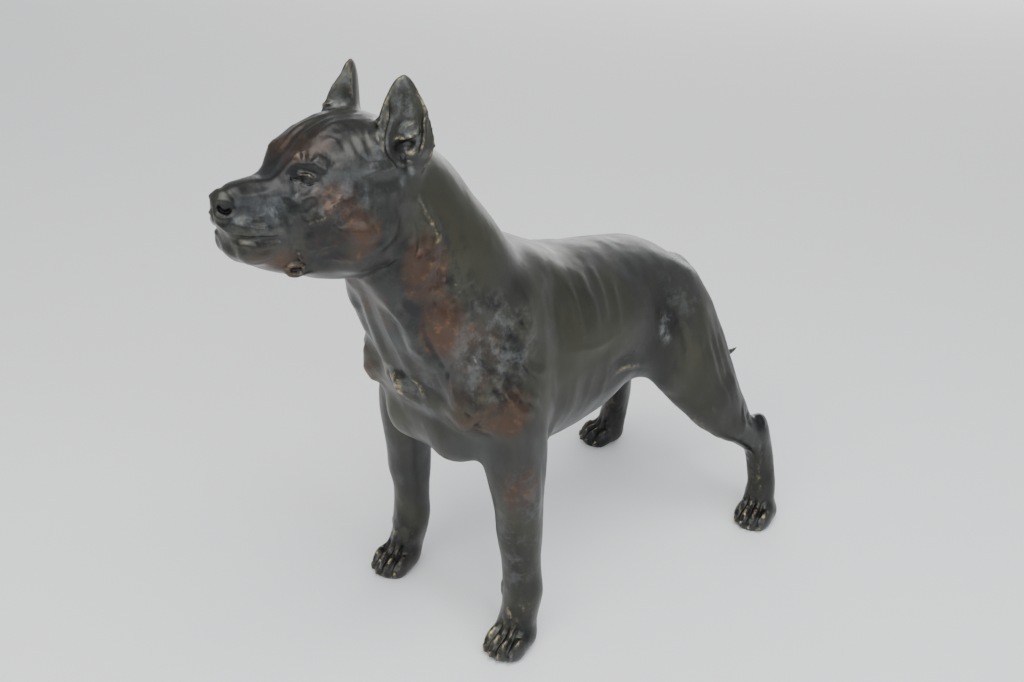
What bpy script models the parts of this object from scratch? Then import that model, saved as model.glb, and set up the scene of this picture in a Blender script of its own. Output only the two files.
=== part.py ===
"""Life-size garden statue of a standing bull terrier, one hollow bronze casting on four flat soles.

The dog looks along -Y, its left side is +X and +Z is up. The figure is modelled once, in shares of its
height at the withers: a share is one hundredth of that height. Lofts make the trunk, the neck, the head,
the legs, the ears and the tail, ellipsoids add the muscles, a voxel remesh makes one skin of them, and
brush strokes carve the face, the folds and the toes.
"""
import math

import bmesh
import bpy
import numpy as np

# Size of the statue
WITHERS_HEIGHT = 0.483
SHARE = WITHERS_HEIGHT / 100

# Fineness of the skin
SKIN_VOXEL = 0.0034
BODY_TRIANGLES = 4600
DETAIL_TRIANGLES = 4700
RING_POINTS = 36
STEPS_ALONG_A_CARVED_LINE = 12
LINE_SMOOTH_ROUNDS = 12
STEPS_BETWEEN_STATIONS = 5

# Finish
BRONZE_COLOUR = (0.045, 0.043, 0.034, 1.0)
BRONZE_ROUGHNESS = 0.34
BRONZE_METALLIC = 0.85

# Trunk: y, height of the back, height of the belly, half width
TRUNK = [
    (-44.0, 93.0, 60.0, 14.0),
    (-37.0, 97.0, 52.5, 18.0),
    (-28.0, 99.5, 46.0, 20.3),
    (-14.0, 99.3, 43.8, 20.8),
    (0.0, 95.6, 44.3, 20.3),
    (12.0, 93.6, 46.6, 18.8),
    (24.0, 91.7, 52.0, 16.8),
    (34.0, 88.6, 56.5, 15.5),
    (43.0, 82.8, 60.0, 12.6),
    (49.0, 76.8, 63.5, 9.6),
    (53.0, 72.8, 67.0, 6.0),
]

# Head from the nose to the nape: y, height of the top, height of the jaw, half width
HEAD = [
    (-96.7, 128.9, 125.2, 0.9),
    (-95.9, 130.7, 122.0, 2.2),
    (-94.4, 131.5, 119.4, 3.3),
    (-92.6, 131.8, 116.9, 4.3),
    (-89.8, 131.8, 114.2, 5.5),
    (-86.4, 131.9, 112.2, 6.7),
    (-83.2, 132.6, 110.8, 7.8),
    (-80.2, 135.4, 109.5, 9.1),
    (-76.5, 138.8, 108.1, 10.8),
    (-71.5, 140.9, 106.2, 12.4),
    (-66.0, 141.5, 105.0, 13.3),
    (-60.0, 140.4, 105.5, 12.9),
    (-54.0, 137.4, 109.0, 11.6),
    (-49.0, 132.0, 114.0, 8.0),
]

# Neck from the head to the withers: x, y, z, half width, towards the nape, towards the throat
NECK = [
    (0.0, -60.0, 126.0, 11.5, 12.0, 12.0),
    (0.0, -54.0, 119.5, 13.0, 15.0, 15.0),
    (0.0, -47.5, 110.5, 14.6, 15.9, 16.8),
    (0.0, -41.0, 100.5, 16.6, 17.2, 18.8),
    (0.0, -36.5, 90.0, 18.6, 15.6, 18.8),
    (0.0, -33.5, 79.0, 19.2, 14.0, 17.6),
    (0.0, -31.0, 68.0, 18.0, 14.0, 17.0),
    (0.0, -28.5, 58.5, 13.5, 12.0, 15.5),
    (0.0, -26.0, 51.0, 7.0, 9.0, 9.0),
]

# Left foreleg from the shoulder down: x, y, z, half width, towards the rear, towards the front
FORELEG = [
    (16.0, -32.6, 76.0, 6.3, 12.0, 10.0),
    (18.6, -33.0, 64.0, 7.2, 11.0, 7.8),
    (20.2, -32.4, 54.0, 7.2, 8.6, 7.6),
    (20.7, -31.6, 46.0, 6.5, 7.0, 6.7),
    (21.1, -30.9, 36.0, 5.7, 6.3, 6.1),
    (21.5, -30.2, 26.0, 5.0, 5.3, 5.1),
    (21.7, -29.7, 19.5, 5.0, 5.4, 5.0),
    (21.9, -29.6, 15.5, 5.5, 5.6, 5.2),
    (22.1, -30.0, 11.0, 4.9, 5.0, 4.9),
    (22.5, -30.8, 6.5, 4.9, 4.8, 5.0),
    (22.8, -32.0, 1.0, 5.0, 4.4, 5.0),
]

# Left thigh and gaskin from the hip to the hock
THIGH = [
    (8.0, 34.0, 79.0, 7.6, 11.0, 12.0),
    (12.5, 36.0, 68.0, 9.0, 12.6, 15.6),
    (17.0, 38.5, 57.5, 8.2, 12.0, 13.7),
    (21.0, 43.6, 46.5, 6.8, 9.6, 10.8),
    (23.8, 49.6, 37.6, 5.4, 7.0, 8.2),
    (25.6, 55.0, 31.2, 4.4, 4.8, 5.0),
    (26.6, 58.8, 28.0, 3.8, 3.6, 4.9),
]

# Left hind pastern from the hock to the paw
METATARSUS = [
    (26.4, 60.3, 32.6, 3.0, 3.2, 3.6),
    (26.8, 61.0, 28.5, 4.1, 4.5, 5.6),
    (27.6, 63.0, 21.5, 4.0, 4.4, 4.8),
    (28.6, 63.7, 14.5, 4.2, 4.4, 4.4),
    (29.9, 63.3, 8.5, 4.5, 4.5, 4.6),
    (30.4, 62.2, 1.0, 4.8, 4.4, 4.8),
]

# Tail from the croup to the tip
TAIL = [
    (0.0, 46.5, 78.0, 4.6, 4.6, 4.6),
    (0.0, 54.5, 71.0, 3.7, 3.7, 3.7),
    (0.0, 61.0, 61.0, 3.1, 3.1, 3.1),
    (0.0, 67.5, 50.5, 2.6, 2.6, 2.6),
    (0.0, 74.5, 41.5, 2.1, 2.1, 2.1),
    (0.0, 81.5, 37.2, 1.6, 1.6, 1.6),
    (0.0, 88.4, 38.4, 0.5, 0.5, 0.5),
]

# Left ear from the tip to the base: x, y, z, half width, half thickness, depth of the cup
EAR = [
    (8.7, -55.9, 149.8, 0.4, 0.4, 0.0),
    (8.7, -56.1, 148.2, 2.0, 0.9, 0.6),
    (8.9, -56.7, 145.0, 4.1, 1.0, 2.0),
    (9.4, -57.3, 141.0, 5.9, 1.1, 3.8),
    (10.1, -57.3, 136.8, 6.4, 1.2, 5.2),
    (10.8, -57.2, 133.0, 5.8, 1.4, 5.2),
    (11.2, -57.2, 129.2, 3.8, 1.8, 3.0),
]
EAR_ACROSS = (0.26, 0.966, 0.0)
EAR_SQUARENESS = 4.0

NECK_SQUARENESS = 2.5

# Left-side muscles and bones: centre, radii, turn about x, y and z in degrees
MUSCLES = [
    ((4.5, -19.0, 92.6), (10.0, 18.0, 9.8), (-25, 0, 0)),
    ((11.0, -30.0, 82.0), (8.6, 12.0, 18.0), (-22, 6, 0)),
    ((13.2, -36.4, 74.5), (7.6, 11.6, 12.0), (0, 0, 0)),
    ((15.3, -41.1, 75.5), (6.0, 7.9, 12.5), (-12, 0, 0)),
    ((15.0, -26.0, 64.0), (7.8, 12.0, 13.0), (30, 0, 0)),
    ((7.5, -37.5, 62.4), (9.0, 9.5, 11.5), (-20, 0, 0)),
    ((20.2, -26.6, 50.8), (3.4, 4.4, 5.0), (0, 0, 0)),
    ((21.5, -26.0, 17.6), (2.6, 2.2, 2.6), (0, 0, 0)),
    ((8.0, 32.0, 77.0), (7.5, 14.0, 9.5), (-18, 0, 0)),
    ((13.5, 25.5, 64.0), (7.2, 10.5, 9.6), (-30, 0, 0)),
    ((18.0, 30.0, 55.0), (5.6, 7.6, 6.0), (-35, 0, 0)),
    ((26.4, 62.2, 30.8), (2.8, 3.2, 3.8), (0, 0, 0)),
    ((9.2, -67.5, 118.5), (4.9, 9.0, 9.0), (0, 0, 0)),
    ((5.9, -81.6, 112.6), (1.5, 3.4, 1.9), (-10, 0, 0)),
    ((3.6, -89.0, 119.8), (3.0, 5.4, 5.0), (0, 0, 0)),
]

# Paws: centre of the left one and its size against the fore paw
FORE_PAW = (23.0, -33.4, 1.0)
HIND_PAW = (31.0, 61.0, 1.0)

# Foot of a fore paw behind its centre: how far, how high, radii
FOOT_BEHIND = 1.2
FOOT_HEIGHT = 3.0
FOOT_RADII = (5.6, 6.2, 4.0)

# Toes of a fore paw: across and ahead of its centre, then what they share
TOES = ((-4.1, 3.6), (-1.45, 5.4), (1.45, 5.4), (4.1, 3.6))
TOE_HEIGHT = 2.6
TOE_RADII = (1.75, 3.9, 3.1)
TOE_DROOP = 18
TOE_SPLAY = -2.0

# Sheath under the belly: centre and radii
SHEATH = ((0.0, 21.0, 48.5), (3.6, 10.0, 4.2))

# Carving, given for the left side: radius of the brush, height (a hollow is negative), points
CARVING = [
    # Brow, eye socket, eyeball and the ridge below it
    (2.6, 0.7, [(4.2, -81.4, 134.8), (5.6, -79.4, 135.8), (7.6, -77.0, 134.6)]),
    (3.0, -1.0, [(6.3, -81.0, 131.7), (7.8, -78.8, 131.2)]),
    (1.3, 0.9, [(6.7, -80.0, 131.7), (7.2, -79.3, 131.6)]),
    (2.2, -0.5, [(4.9, -82.6, 131.0), (6.2, -82.0, 128.8), (8.2, -80.4, 127.0)]),
    (3.2, 0.7, [(9.3, -79.0, 124.6), (10.6, -76.0, 126.2), (11.8, -72.0, 127.6)]),
    # Forehead furrow and temple
    (2.8, -0.7, [(0.0, -84.6, 132.4), (0.0, -80.0, 136.2), (0.0, -74.0, 140.0),
                 (0.0, -63.0, 141.0)]),
    (3.6, -0.4, [(8.8, -76.0, 136.0), (9.8, -71.0, 137.5)]),
    # Muzzle: nose pad, nostril, whisker bed, mouth and the crease behind it
    (1.1, -0.4, [(0.0, -93.4, 131.9), (2.8, -93.2, 130.8), (4.0, -93.4, 128.6), (3.6, -94.6, 126.4)]),
    (1.3, -1.1, [(2.4, -96.4, 127.9), (3.2, -95.4, 127.7)]),
    (0.9, -0.4, [(0.0, -97.0, 128.4), (0.0, -96.4, 122.4)]),
    (2.6, 0.5, [(3.6, -94.8, 124.6), (6.0, -89.6, 124.0), (6.9, -86.0, 123.8)]),
    (1.2, -0.9, [(0.0, -96.2, 121.4), (1.9, -95.6, 121.6), (4.8, -93.2, 121.2),
                 (6.4, -89.3, 120.3), (7.2, -85.2, 120.2)]),
    (2.2, -0.8, [(6.4, -83.6, 126.6), (7.7, -83.2, 122.4), (7.6, -82.8, 118.4), (6.9, -82.2, 115.4)]),
    # Cheek and the line of the jaw
    (3.0, -0.6, [(8.0, -78.8, 113.2), (11.6, -71.4, 113.2), (12.6, -64.5, 113.8), (12.0, -59.0, 116.0)]),
    (3.0, -0.5, [(11.6, -62.0, 126.0), (12.6, -60.0, 121.0), (12.6, -58.6, 116.0)]),
    # Ear hollow
    (2.2, -1.2, [(12.4, -57.4, 134.4), (12.6, -57.4, 131.0)]),
    # Fold of skin below the ear
    (2.4, 0.8, [(12.6, -54.6, 122.3), (13.4, -53.0, 118.2), (13.8, -52.0, 114.4), (13.1, -54.2, 110.8)]),
    (2.2, -0.6, [(11.9, -57.4, 120.8), (12.7, -56.8, 117.2), (13.0, -56.2, 113.8)]),
    # Throat, breastbone and the edges of the chest muscles
    (4.6, 0.8, [(6.0, -61.0, 103.0), (8.6, -56.4, 96.0), (8.4, -53.4, 86.0), (5.0, -51.4, 79.0)]),
    (4.2, -0.7, [(0.0, -60.5, 102.0), (0.0, -56.0, 92.0), (0.0, -52.0, 81.0)]),
    (4.6, 1.6, [(0.0, -50.4, 74.6), (0.0, -49.6, 71.6)]),
    (4.0, -0.9, [(7.6, -51.4, 84.0), (9.6, -49.6, 77.0), (15.0, -45.6, 70.0)]),
    (3.6, -0.8, [(1.5, -48.6, 65.6), (9.9, -46.6, 65.4), (17.7, -42.2, 63.6), (22.6, -37.0, 61.6)]),
    # Rear edge of the shoulder and the arm
    (3.8, -0.9, [(14.0, -15.5, 93.0), (19.6, -17.9, 80.0), (21.0, -18.6, 67.0), (21.6, -22.6, 58.4)]),
    (3.0, -0.5, [(24.4, -31.0, 60.0), (25.6, -29.0, 50.0), (25.4, -28.6, 42.0)]),
    # Loin and hip
    (5.0, -0.6, [(12.0, 18.0, 86.0), (14.6, 26.0, 80.0), (16.0, 30.0, 72.0)]),
    # Flank fold, thigh and gaskin
    (3.0, 0.8, [(17.0, 3.0, 60.6), (18.4, 10.0, 62.6), (18.6, 18.0, 62.4)]),
    (4.4, -0.9, [(19.4, 3.0, 65.5), (19.4, 13.0, 66.0), (19.0, 22.0, 66.0)]),
    (4.0, -0.8, [(20.2, 26.6, 67.0), (21.8, 28.2, 62.6), (23.2, 29.6, 56.6)]),
    (4.0, -0.7, [(19.6, 42.0, 72.0), (23.4, 43.8, 61.0), (26.4, 46.0, 51.4)]),
    (2.8, -0.7, [(28.0, 50.0, 42.0), (29.2, 54.4, 36.0), (28.8, 58.6, 33.0)]),
    (2.4, -0.5, [(31.6, 61.4, 26.0), (32.0, 62.4, 18.0)]),
]

# Clefts between the toes of a fore paw: how far from its middle, the line ahead and up, the brush
TOE_CLEFTS = (-2.75, 0.0, 2.75)
CLEFT_LINE = ((9.5, 1.2), (6.0, 5.2), (2.5, 7.0))
CLEFT_RADIUS = 0.95
CLEFT_DEPTH = -1.1

# Skin: rounds of filling the creases and of smoothing, and how far each round goes
CREASE_ROUNDS = 60
CREASE_FILL = 0.8
CREASE_SPREAD = 0.3
SMOOTH_ROUNDS = 8
CARVED_SMOOTH_ROUNDS = 2
SMOOTH_PULL = 0.5
SHORTEST_EDGE = 0.00002

# Where the finer triangles go: in front of this y above this height, and below the second height
HEAD_FRONT = -44.0
HEAD_FOOT = 101.0
PAW_TOP = 9.0


def catmull_rom(rows, steps):
    """Return the rows with steps between each pair, on a smooth curve through all of them."""
    ends = np.vstack([2 * rows[0] - rows[1], rows, 2 * rows[-1] - rows[-2]])
    smooth = []
    for a, b, c, d in zip(ends, ends[1:], ends[2:], ends[3:]):
        for step in range(steps):
            t = step / steps
            bend = 2 * a - 5 * b + 4 * c - d + t * (3 * (b - c) + d - a)
            smooth.append(b + 0.5 * t * (c - a + t * bend))
    smooth.append(rows[-1])
    return np.array(smooth)


def skin_rings(name, rings):
    """Join rings of points into one closed body."""
    count = len(rings[0])
    faces = [list(range(count))[::-1]]
    for ring in range(len(rings) - 1):
        low = ring * count
        for i in range(count):
            j = (i + 1) % count
            faces.append((low + i, low + j, low + count + j, low + count + i))
    faces.append([(len(rings) - 1) * count + i for i in range(count)])
    mesh = bpy.data.meshes.new(name)
    mesh.from_pydata([tuple(point) for ring in rings for point in ring], [], faces)
    body = bpy.data.objects.new(name, mesh)
    bpy.context.scene.collection.objects.link(body)
    work = bmesh.new()
    work.from_mesh(mesh)
    bmesh.ops.recalc_face_normals(work, faces=work.faces)
    work.to_mesh(mesh)
    work.free()
    return body


def squared(wave, squareness):
    """Bend a sine or cosine so that the ring runs from an ellipse towards a box."""
    return np.sign(wave) * np.abs(wave) ** (2 / squareness)


def loft(name, stations, upright=False, mirrored=False, squareness=2.0):
    """Loft rings along a path: x, y, z, half width, extent to the back side, extent to the front."""
    rows = catmull_rom(np.array(stations), STEPS_BETWEEN_STATIONS) * SHARE
    centres = rows[:, :3]
    tangents = np.gradient(centres, axis=0)
    if upright:
        tangents[:] = (0.0, 1.0, 0.0)
    turns = np.linspace(0, 2 * math.pi, RING_POINTS, endpoint=False)
    rings = []
    for centre, tangent, (half, behind, before) in zip(centres, tangents, rows[:, 3:]):
        tangent = tangent / np.linalg.norm(tangent)
        side = np.array((1.0, 0.0, 0.0)) - tangent * tangent[0]
        side /= np.linalg.norm(side)
        back = np.cross(side, tangent)
        reach = np.where(np.sin(turns) > 0, behind, before)
        along = squared(np.cos(turns), squareness) * half
        through = squared(np.sin(turns), squareness) * reach
        ring = centre + np.outer(along, side) + np.outer(through, back)
        rings.append(ring)
    bodies = [skin_rings(name, rings)]
    if mirrored:
        bodies.append(skin_rings(name + "_right", [ring * (-1, 1, 1) for ring in rings]))
    return bodies


def loft_level(name, sections):
    """Loft upright sections: y, height of the top, height of the bottom, half width."""
    stations = []
    for y, top, bottom, half in sections:
        middle = (top + bottom) / 2
        stations.append((0.0, y, middle, half, top - middle, middle - bottom))
    return loft(name, stations, upright=True)


def ear(side):
    """Cupped leaf whose hollow faces forwards and outwards."""
    rows = catmull_rom(np.array(EAR), STEPS_BETWEEN_STATIONS) * SHARE
    across = np.array(EAR_ACROSS)
    outwards = np.array((across[1], -across[0], 0.0))
    turns = np.linspace(0, 2 * math.pi, RING_POINTS, endpoint=False)
    rings = []
    for x, y, z, half, thickness, cup in rows:
        along = np.cos(turns)
        through = squared(np.sin(turns), EAR_SQUARENESS) * thickness + (along * along - 0.5) * cup
        ring = np.array((x, y, z)) + np.outer(along * half, across) + np.outer(through, outwards)
        rings.append(ring * (side, 1, 1))
    return skin_rings("ear", rings)


def ellipsoid(centre, radii, turn=(0, 0, 0)):
    """Add an ellipsoid, all in shares of the height."""
    bpy.ops.mesh.primitive_uv_sphere_add(segments=28, ring_count=18, radius=1.0)
    body = bpy.context.active_object
    body.scale = [radius * SHARE for radius in radii]
    body.rotation_euler = [math.radians(angle) for angle in turn]
    body.location = [value * SHARE for value in centre]
    bpy.ops.object.transform_apply(location=True, rotation=True, scale=True)
    return body


def both_sides(centre, radii, turn=(0, 0, 0)):
    """Add an ellipsoid on the left and its mirror image on the right."""
    x, y, z = centre
    tilt, lean, twist = turn
    return [ellipsoid(centre, radii, turn), ellipsoid((-x, y, z), radii, (tilt, -lean, -twist))]


def paw(x, y, size):
    """Four arched toes in front of a broad foot."""
    centre = (x, y + FOOT_BEHIND * size, FOOT_HEIGHT * size)
    bodies = both_sides(centre, [radius * size for radius in FOOT_RADII])
    toe_radii = [radius * size for radius in TOE_RADII]
    for across, ahead in TOES:
        centre = (x + across * size, y - ahead * size, TOE_HEIGHT * size)
        bodies += both_sides(centre, toe_radii, (TOE_DROOP, 0, across * TOE_SPLAY))
    return bodies


def remesh(body, voxel):
    """Make one skin of all overlapping bodies."""
    modifier = body.modifiers.new("skin", "REMESH")
    modifier.mode = "VOXEL"
    modifier.voxel_size = voxel
    bpy.ops.object.modifier_apply(modifier=modifier.name)


def read_vertices(mesh):
    """Return the places and the normals of the vertices."""
    places = np.empty(len(mesh.vertices) * 3, np.float32)
    mesh.vertices.foreach_get("co", places)
    normals = np.empty(len(mesh.vertices) * 3, np.float32)
    mesh.vertices.foreach_get("normal", normals)
    return places.reshape(-1, 3).astype(float), normals.reshape(-1, 3).astype(float)


def write_vertices(mesh, places):
    """Put the vertices at their new places."""
    mesh.vertices.foreach_set("co", places.astype(np.float32).ravel())
    mesh.update()


def neighbour_means(mesh, places):
    """Return the mean place of each vertex's neighbours."""
    edges = np.empty(len(mesh.edges) * 2, np.int32)
    mesh.edges.foreach_get("vertices", edges)
    starts, ends = edges.reshape(-1, 2).T
    count = np.bincount(starts, minlength=len(places)) + np.bincount(ends, minlength=len(places))
    means = np.empty_like(places)
    for axis in range(3):
        total = np.bincount(starts, places[ends, axis], len(places))
        total += np.bincount(ends, places[starts, axis], len(places))
        means[:, axis] = total / count
    return means


def fill_creases(mesh, rounds):
    """Round the hollow seams between the bodies and leave what bulges as it is."""
    for _ in range(rounds):
        places, normals = read_vertices(mesh)
        pull = neighbour_means(mesh, places) - places
        rise = np.einsum("ij,ij->i", pull, normals)
        tangential = pull - normals * rise[:, None]
        rise = CREASE_FILL * np.clip(rise, 0, None)
        write_vertices(mesh, places + normals * rise[:, None] + CREASE_SPREAD * tangential)


def smooth(mesh, rounds):
    """Smooth the whole skin lightly."""
    for _ in range(rounds):
        places, _ = read_vertices(mesh)
        pull = neighbour_means(mesh, places) - places
        write_vertices(mesh, places + SMOOTH_PULL * pull)


def even_out(rows):
    """Smooth a line of values and keep its ends."""
    for _ in range(LINE_SMOOTH_ROUNDS):
        rows = rows.copy()
        rows[1:-1] = 0.25 * rows[:-2] + 0.5 * rows[1:-1] + 0.25 * rows[2:]
    return rows


def carve(mesh, radius, height, points):
    """Raise or hollow the skin along a smooth line through the points, which snap onto the skin."""
    places, normals = read_vertices(mesh)
    reach = radius * SHARE
    line = catmull_rom(np.array(points), STEPS_ALONG_A_CARVED_LINE) * SHARE
    near = np.all((places > line.min(0) - 3 * reach) & (places < line.max(0) + 3 * reach), axis=1)
    chosen = np.flatnonzero(near)
    if len(chosen) == 0:
        return
    here = places[chosen]
    spread = np.linalg.norm(here[:, None, :] - line[None, :, :], axis=2)
    snapped = even_out(here[spread.argmin(0)])
    facing = even_out(normals[chosen][spread.argmin(0)])
    facing /= np.linalg.norm(facing, axis=1)[:, None]
    spread = np.linalg.norm(here[:, None, :] - snapped[None, :, :], axis=2)
    closest = spread.argmin(1)
    share = np.clip(1 - (spread.min(1) / reach) ** 2, 0, 1) ** 2
    share *= np.clip(np.einsum("ij,ij->i", normals[chosen], facing[closest]), 0, 1)
    places[chosen] += facing[closest] * (share * height * SHARE)[:, None]
    write_vertices(mesh, places)


def carve_figure(mesh):
    """Carve both sides of the dog and the clefts of all toes."""
    for radius, height, points in CARVING:
        sides = (1,) if all(x == 0 for x, _, _ in points) else (1, -1)
        for side in sides:
            carve(mesh, radius, height, [(side * x, y, z) for x, y, z in points])
    for x, y, size in (FORE_PAW, HIND_PAW):
        for side in (1, -1):
            for cleft in TOE_CLEFTS:
                across = side * (x + cleft * size)
                points = [(across, y - ahead * size, up * size) for ahead, up in CLEFT_LINE]
                carve(mesh, CLEFT_RADIUS * size, CLEFT_DEPTH * size, points)


def build_rough_figure():
    """Set out all bodies of the dog and return them joined."""
    bodies = loft_level("trunk", TRUNK)
    bodies += loft_level("head", HEAD)
    bodies += loft("neck", NECK, squareness=NECK_SQUARENESS)
    bodies += loft("foreleg", FORELEG, mirrored=True)
    bodies += loft("thigh", THIGH, mirrored=True)
    bodies += loft("metatarsus", METATARSUS, mirrored=True)
    bodies += loft("tail", TAIL)
    bodies += [ear(1), ear(-1)]
    for centre, radii, turn in MUSCLES:
        bodies += both_sides(centre, radii, turn)
    bodies.append(ellipsoid(*SHEATH))
    bodies += paw(*FORE_PAW)
    bodies += paw(*HIND_PAW)
    bpy.ops.object.select_all(action="DESELECT")
    for body in bodies:
        body.select_set(True)
    bpy.context.view_layer.objects.active = bodies[0]
    bpy.ops.object.join()
    return bpy.context.active_object


def cut_soles(mesh):
    """Cut the paws level, so that the statue stands on four flat soles."""
    work = bmesh.new()
    work.from_mesh(mesh)
    geometry = work.verts[:] + work.edges[:] + work.faces[:]
    bmesh.ops.bisect_plane(work, geom=geometry, plane_co=(0, 0, 0), plane_no=(0, 0, 1), clear_inner=True)
    rim = [edge for edge in work.edges if edge.is_boundary]
    bmesh.ops.holes_fill(work, edges=rim, sides=0)
    bmesh.ops.triangulate(work, faces=work.faces[:])
    bmesh.ops.dissolve_degenerate(work, edges=work.edges[:], dist=SHORTEST_EDGE)
    bmesh.ops.recalc_face_normals(work, faces=work.faces[:])
    work.to_mesh(mesh)
    work.free()


def decimate(body):
    """Thin the skin out: the trunk and the legs first, then the head and the paws, which stay finer."""
    mesh = body.data
    places, _ = read_vertices(mesh)
    share = places / SHARE
    fine = (share[:, 1] < HEAD_FRONT) & (share[:, 2] > HEAD_FOOT) | (share[:, 2] < PAW_TOP)
    group = body.vertex_groups.new(name="plain")
    group.add(np.flatnonzero(~fine).tolist(), 1.0, "REPLACE")
    mesh.calc_loop_triangles()
    detail = sum(1 for triangle in mesh.loop_triangles if fine[triangle.vertices[0]])
    for keep, invert in ((detail + BODY_TRIANGLES, False), (DETAIL_TRIANGLES + BODY_TRIANGLES, True)):
        body.data.calc_loop_triangles()
        modifier = body.modifiers.new("thin", "DECIMATE")
        modifier.ratio = keep / len(body.data.loop_triangles)
        modifier.vertex_group = group.name
        modifier.invert_vertex_group = invert
        modifier.use_collapse_triangulate = True
        bpy.ops.object.modifier_apply(modifier=modifier.name)
    body.vertex_groups.clear()


def bronze():
    """Dark lacquered bronze."""
    material = bpy.data.materials.new("bronze")
    material.use_nodes = True
    shader = material.node_tree.nodes["Principled BSDF"]
    shader.inputs["Base Color"].default_value = BRONZE_COLOUR
    shader.inputs["Roughness"].default_value = BRONZE_ROUGHNESS
    shader.inputs["Metallic"].default_value = BRONZE_METALLIC
    return material


def stand_at_origin(mesh):
    """Put the middle of the figure's outline over the origin, with the soles at z = 0."""
    places, _ = read_vertices(mesh)
    middle = (places.min(0) + places.max(0)) / 2
    write_vertices(mesh, places - (middle[0], middle[1], 0.0))


def main():
    for old in list(bpy.data.objects):
        bpy.data.objects.remove(old, do_unlink=True)
    figure = build_rough_figure()
    remesh(figure, SKIN_VOXEL)
    fill_creases(figure.data, CREASE_ROUNDS)
    smooth(figure.data, SMOOTH_ROUNDS)
    carve_figure(figure.data)
    smooth(figure.data, CARVED_SMOOTH_ROUNDS)
    decimate(figure)
    cut_soles(figure.data)
    stand_at_origin(figure.data)
    figure.name = "bull_terrier_figure"
    figure.data.materials.clear()
    figure.data.materials.append(bronze())
    figure.data.shade_smooth()
    statue = bpy.data.collections.new("Bull terrier garden statue")
    bpy.context.scene.collection.children.link(statue)
    for holder in list(figure.users_collection):
        holder.objects.unlink(figure)
    statue.objects.link(figure)


main()
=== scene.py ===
# %% [markdown]
# # A bull terrier for the garden
#
# The real thing is a life-size dog, cast hollow in bronze by the lost-wax process. A sculptor modelled it in
# clay, with the skin drawn tight over strong muscle, and the foundry gave the metal a dark patina under clear
# lacquer. Hands and weather have rubbed the ears, the brows and the toes back to gold.
#
# The dog is one piece, so this lesson makes one object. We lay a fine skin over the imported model, work it
# with a sculptor's tools written as short functions, thin it out again, and then paint the patina with nodes.

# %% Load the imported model
import math

import bpy
import numpy as np
from mathutils import Matrix, Vector


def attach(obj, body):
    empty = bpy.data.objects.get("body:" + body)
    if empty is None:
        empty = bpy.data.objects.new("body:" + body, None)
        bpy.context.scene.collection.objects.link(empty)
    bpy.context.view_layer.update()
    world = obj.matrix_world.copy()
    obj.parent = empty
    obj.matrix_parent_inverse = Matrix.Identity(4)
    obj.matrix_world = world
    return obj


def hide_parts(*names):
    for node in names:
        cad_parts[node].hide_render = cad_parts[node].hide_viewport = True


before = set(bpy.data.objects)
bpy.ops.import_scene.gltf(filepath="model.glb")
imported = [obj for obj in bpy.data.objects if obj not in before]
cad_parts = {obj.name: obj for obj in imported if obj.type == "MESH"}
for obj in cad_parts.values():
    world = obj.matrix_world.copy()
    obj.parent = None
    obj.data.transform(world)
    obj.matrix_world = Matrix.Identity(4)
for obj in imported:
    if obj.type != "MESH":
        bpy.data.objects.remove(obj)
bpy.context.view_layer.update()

# %% [markdown]
# ## The camera
#
# The photograph looks down on the dog from its front left, from about a metre and a half. A camera is a place
# and three directions: to its right, up, and back towards the photographer. Worked out from three angles they
# make its matrix, which is easier to control than a chain of rotations.

# %% Camera at the photograph's angle
LOOK_AT = Vector((-0.007, -0.0417, 0.346))
DISTANCE = 1.5
AZIMUTH = math.radians(45.1)
ELEVATION = math.radians(26.6)
ROLL = math.radians(1.92)
LENS = 43.0
SENSOR_WIDTH = 36.0

flat = math.cos(ELEVATION)
back = Vector((math.sin(AZIMUTH) * flat, -math.cos(AZIMUTH) * flat, math.sin(ELEVATION)))
level = Vector((math.cos(AZIMUTH), math.sin(AZIMUTH), 0.0))
upright = back.cross(level)
right = level * math.cos(ROLL) + upright * math.sin(ROLL)
up = upright * math.cos(ROLL) - level * math.sin(ROLL)
camera_data = bpy.data.cameras.new("photo_view")
camera_data.lens = LENS
camera_data.sensor_width = SENSOR_WIDTH
camera_data.sensor_fit = "HORIZONTAL"
camera = bpy.data.objects.new("photo_view", camera_data)
turned = Matrix((right, up, back)).transposed().to_4x4()
camera.matrix_world = Matrix.Translation(LOOK_AT + back * DISTANCE) @ turned
bpy.context.scene.collection.objects.link(camera)
bpy.context.scene.camera = camera
print("camera at", [round(value, 3) for value in camera.location])

# %% [markdown]
# ## The clay
#
# Sculpting needs an even, fine skin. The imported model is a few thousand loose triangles, so a copy of it is
# merged, rounded once by Subdivision Surface, and given a skin of small squares by the voxel Remesh modifier.
# The head and the paws are then subdivided once more in edit mode, because eyelids and toes are finer work
# than a flank. A primitive would be a poor start here: the copy already has the dog's exact outline. Lengths
# in the tables below are in shares, a hundredth of the dog's height at the withers, and heights start at the
# ground. They count along the dog from the middle of its trunk, and FORWARD carries them to the model's own
# origin.

# %% Lay an even skin over the model
SHARE = 0.483 / 100
FORWARD = 4.41
SKIN_STEP = 0.0022
HEAD_BEHIND = -44.0
HEAD_ABOVE = 99.0
PAW_BELOW = 10.0
WELD_DISTANCE = 0.00001


def apply_modifier(piece, name, kind, **settings):
    """Add a modifier, give it its settings and apply it."""
    modifier = piece.modifiers.new(name, kind)
    for key, value in settings.items():
        setattr(modifier, key, value)
    bpy.ops.object.modifier_apply(modifier=modifier.name)


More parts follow.
